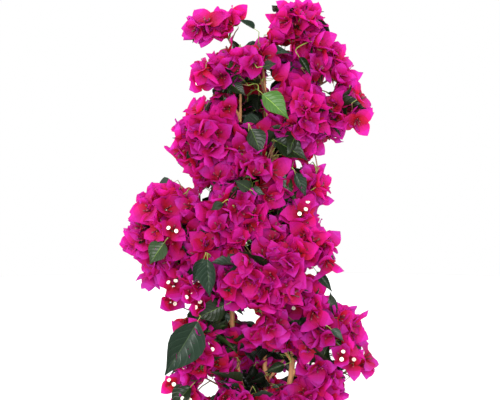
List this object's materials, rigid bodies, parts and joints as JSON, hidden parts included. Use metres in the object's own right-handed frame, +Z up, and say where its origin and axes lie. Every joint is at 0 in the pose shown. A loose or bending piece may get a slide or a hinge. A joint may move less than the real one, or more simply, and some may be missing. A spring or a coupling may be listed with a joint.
{
  "type": "bougainvillea bush",
  "caption": "Upright climbing shrub in full bloom: a short flared trunk, long stems, arching boughs, and loose masses of papery three-bract blossoms with dark leaves.",
  "frame": {"origin": "centre of the flat cut at the ground under the trunk", "axes": "+Z up along the trunk, +X to the right and -Y to the front, as the plant is seen"},
  "size_m": [0.452, 0.3279, 0.7963],
  "materials": {
    "bark": "tan-brown bark, matt and finely furrowed",
    "blossom": "papery magenta bracts, satin, with fine veins",
    "foliage": "dark green leaves with a soft gloss and a paler rib"
  },
  "bodies": {
    "root": {"back_low": "blossom", "back_low_left": "blossom", "back_low_right": "blossom", "back_middle": "blossom", "back_right": "blossom", "back_top": "blossom", "back_upper_left": "blossom", "back_upper_right": "blossom", "back_wing": "blossom", "bottom_back": "blossom", "bottom_left": "blossom", "bottom_right": "blossom", "bough_back_low": "bark", "bough_back_low_left": "bark", "bough_back_low_right": "bark", "bough_back_middle": "bark", "bough_back_right": "bark", "bough_back_upper_left": "bark", "bough_back_upper_right": "bark", "bough_back_wing": "bark", "bough_bottom_back": "bark", "bough_bottom_right": "bark", "bough_centre_bottom": "bark", "bough_centre_low": "bark", "bough_far_low_right": "bark", "bough_far_right": "bark", "bough_leafy_left": "bark", "bough_left_low": "bark", "bough_left_wing": "bark", "bough_low_right": "bark", "bough_right_middle": "bark", "bough_right_shoulder": "bark", "bough_upper_left": "bark", "bough_upper_right": "bark", "centre_bottom": "blossom", "centre_low": "blossom", "centre_middle": "blossom", "centre_upper": "blossom", "far_low_right": "blossom", "far_right": "blossom", "leafy_left": "foliage", "left_low": "blossom", "left_shoulder": "blossom", "left_wing": "blossom", "low_left": "blossom", "low_right": "blossom", "right_centre": "blossom", "right_middle": "blossom", "right_shoulder": "blossom", "stem_back": "bark", "stem_left": "bark", "stem_right": "bark", "top_left": "blossom", "top_middle": "blossom", "top_right": "blossom", "trunk": "bark", "upper_left": "blossom", "upper_right": "blossom"}
  },
  "joints": []
}
